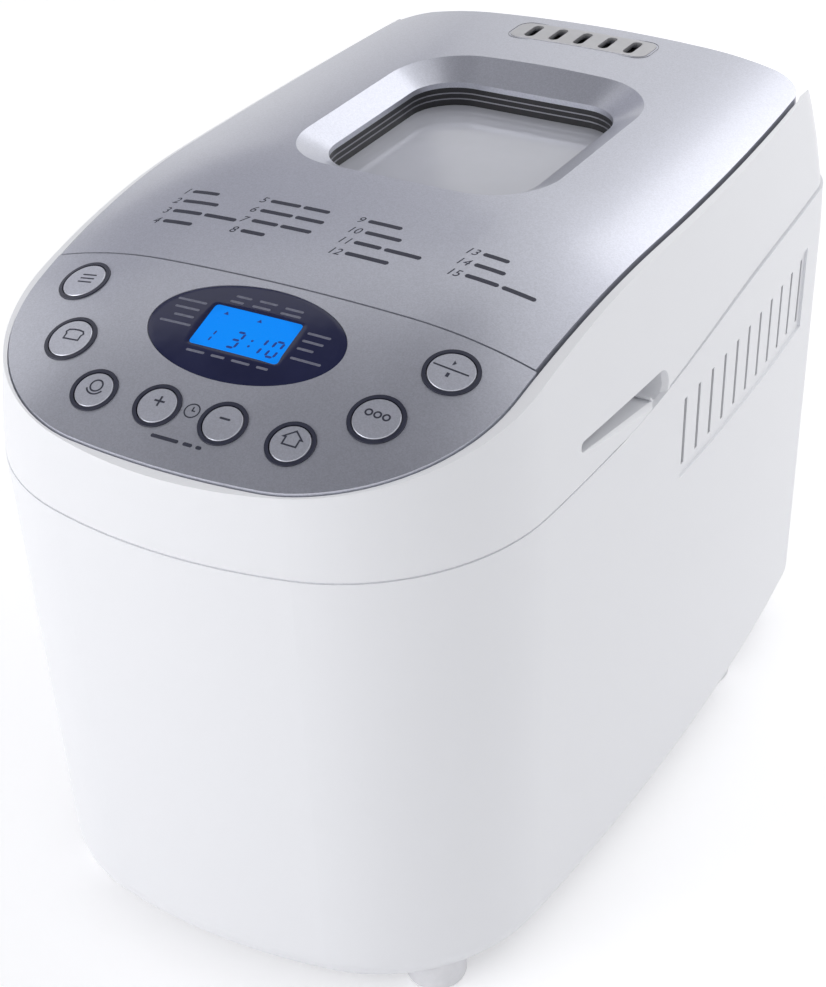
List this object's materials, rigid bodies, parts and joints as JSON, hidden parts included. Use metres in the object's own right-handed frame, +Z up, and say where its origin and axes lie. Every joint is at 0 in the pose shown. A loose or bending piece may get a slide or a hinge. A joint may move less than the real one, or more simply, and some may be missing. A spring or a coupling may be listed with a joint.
{
  "type": "bread machine",
  "caption": "Countertop bread machine with a hinged windowed lid, sprung control buttons, an oven chamber, a lift-out pan with a bail handle, and a belt-driven kneading paddle.",
  "frame": {"origin": "centre of the bounding box at the worktop, under the feet", "axes": "+X to the right seen from the front, -Y towards the front with the control panel, +Z up"},
  "size_m": [0.24, 0.384, 0.2906],
  "materials": {
    "white_shell": "satin moulded",
    "base_grey": "moulded",
    "foot_white": "moulded",
    "silver_top": "silver satin",
    "silver_button": "silver satin",
    "ring_black": "moulded",
    "lens_black": "polished dark acrylic",
    "lcd_blue": "backlit",
    "board_green": "circuit board",
    "component_black": "moulded",
    "dark_plastic": "moulded",
    "grille_grey": "moulded",
    "pane": "clear",
    "liner_grey": "moulded",
    "gasket_grey": "silicone",
    "steel": "plain",
    "chamber_steel": "galvanised sheet",
    "element": "oxidised sheath",
    "pan_coating": "dark non-stick coat",
    "pan_metal": "cast",
    "handle_wire": "bright wire",
    "bearing": "sintered",
    "shaft_steel": "ground",
    "pulley": "moulded nylon",
    "belt": "ribbed",
    "motor_case": "zinc plated"
  },
  "bodies": {
    "housing": {"upper_housing": "white_shell", "lower_housing": "white_shell", "base_plate": "base_grey", "foot_front_left": "foot_white", "foot_front_right": "foot_white", "foot_rear_left": "foot_white", "foot_rear_right": "foot_white", "control_panel": "silver_top", "button_rings": "ring_black", "display_lens": "lens_black", "lcd_module": "lcd_blue", "control_board": "board_green", "power_board": "board_green", "switches": "component_black", "power_parts": "component_black", "cord_gland": "dark_plastic", "base_screws": "steel", "hinge_pins": "steel", "chassis": "steel", "chassis_posts": "steel", "temperature_sensor": "steel", "element_clips": "steel", "oven_chamber": "chamber_steel", "chamber_collar": "chamber_steel", "pan_socket": "chamber_steel", "heating_element": "element", "shaft_bearing": "bearing", "drive_belt": "belt", "motor_housing": "motor_case"},
    "lid": {"lid_cover": "silver_top", "vent_grille": "grille_grey", "window_frame": "dark_plastic", "window_outer": "pane", "window_inner": "pane", "lid_liner": "liner_grey", "lid_screws": "steel", "lid_gasket": "gasket_grey"},
    "pan": {"bread_pan": "pan_coating", "pan_base": "pan_metal", "pan_bearing": "bearing", "pan_lugs": "pan_metal"},
    "handle": {"pan_handle": "handle_wire"},
    "mixing_shaft": {"pan_shaft": "shaft_steel"},
    "paddle": {"kneading_paddle": "pan_coating"},
    "drive": {"drive_shaft": "shaft_steel", "drive_coupling": "shaft_steel", "drive_pulley": "pulley"},
    "rotor": {"motor_shaft": "shaft_steel", "motor_pulley": "pulley", "motor_fan": "pulley"},
    "programme_button": {"programme_button": "silver_button"},
    "start_button": {"start_button": "silver_button"},
    "loaf_button": {"loaf_button": "silver_button"},
    "crust_button": {"crust_button": "silver_button"},
    "dough_button": {"dough_button": "silver_button"},
    "recipe_button": {"recipe_button": "silver_button"},
    "plus_button": {"plus_button": "silver_button"},
    "minus_button": {"minus_button": "silver_button"}
  },
  "joints": [
    {"name": "lid_hinge", "type": "hinge", "parent": "housing", "child": "lid", "pos_m": [0, 0.161, 0.263], "axis": [-1, 0, 0], "range_deg": [0, 80]},
    {"name": "pan_lift", "type": "slide", "parent": "housing", "child": "pan", "axis": [0, 0, 1], "range_m": [0, 0.006]},
    {"name": "handle_swing", "type": "hinge", "parent": "pan", "child": "handle", "pos_m": [0, 0.046, 0.228], "axis": [-1, 0, 0], "range_deg": [0, 14]},
    {"name": "mixing_shaft_spin", "type": "hinge", "parent": "pan", "child": "mixing_shaft", "pos_m": [0, 0.046, 0.084], "axis": [0, 0, 1], "continuous": true},
    {"name": "paddle_lift", "type": "slide", "parent": "mixing_shaft", "child": "paddle", "axis": [0, 0, 1], "range_m": [0, 0.03]},
    {"name": "drive_spin", "type": "hinge", "parent": "housing", "child": "drive", "pos_m": [0, 0.046, 0.028], "axis": [0, 0, 1], "continuous": true},
    {"name": "motor_spin", "type": "hinge", "parent": "housing", "child": "rotor", "pos_m": [0, -0.113, 0.028], "axis": [0, 0, 1], "continuous": true},
    {"name": "programme_button_press", "type": "slide", "parent": "housing", "child": "programme_button", "axis": [0.1714, 0.2921, -0.9409], "range_m": [0, 0.0008], "stiffness_N_per_m": 600, "springref_m": -0.0004},
    {"name": "start_button_press", "type": "slide", "parent": "housing", "child": "start_button", "axis": [-0.1714, 0.2921, -0.9409], "range_m": [0, 0.0008], "stiffness_N_per_m": 600, "springref_m": -0.0004},
    {"name": "loaf_button_press", "type": "slide", "parent": "housing", "child": "loaf_button", "axis": [0.1024, 0.3726, -0.9223], "range_m": [0, 0.0008], "stiffness_N_per_m": 600, "springref_m": -0.0004},
    {"name": "crust_button_press", "type": "slide", "parent": "housing", "child": "crust_button", "axis": [-0.1024, 0.3726, -0.9223], "range_m": [0, 0.0008], "stiffness_N_per_m": 600, "springref_m": -0.0004},
    {"name": "dough_button_press", "type": "slide", "parent": "housing", "child": "dough_button", "axis": [0.0355, 0.4255, -0.9043], "range_m": [0, 0.0008], "stiffness_N_per_m": 600, "springref_m": -0.0004},
    {"name": "recipe_button_press", "type": "slide", "parent": "housing", "child": "recipe_button", "axis": [-0.0355, 0.4255, -0.9043], "range_m": [0, 0.0008], "stiffness_N_per_m": 600, "springref_m": -0.0004},
    {"name": "plus_button_press", "type": "slide", "parent": "housing", "child": "plus_button", "axis": [0.0118, 0.4257, -0.9048], "range_m": [0, 0.0008], "stiffness_N_per_m": 600, "springref_m": -0.0004},
    {"name": "minus_button_press", "type": "slide", "parent": "housing", "child": "minus_button", "axis": [-0.0118, 0.4257, -0.9048], "range_m": [0, 0.0008], "stiffness_N_per_m": 600, "springref_m": -0.0004}
  ],
  "couplings": [
    {"joint": "motor_spin", "follows": "drive_spin", "ratio": 7.5},
    {"joint": "mixing_shaft_spin", "follows": "drive_spin", "ratio": 1}
  ]
}
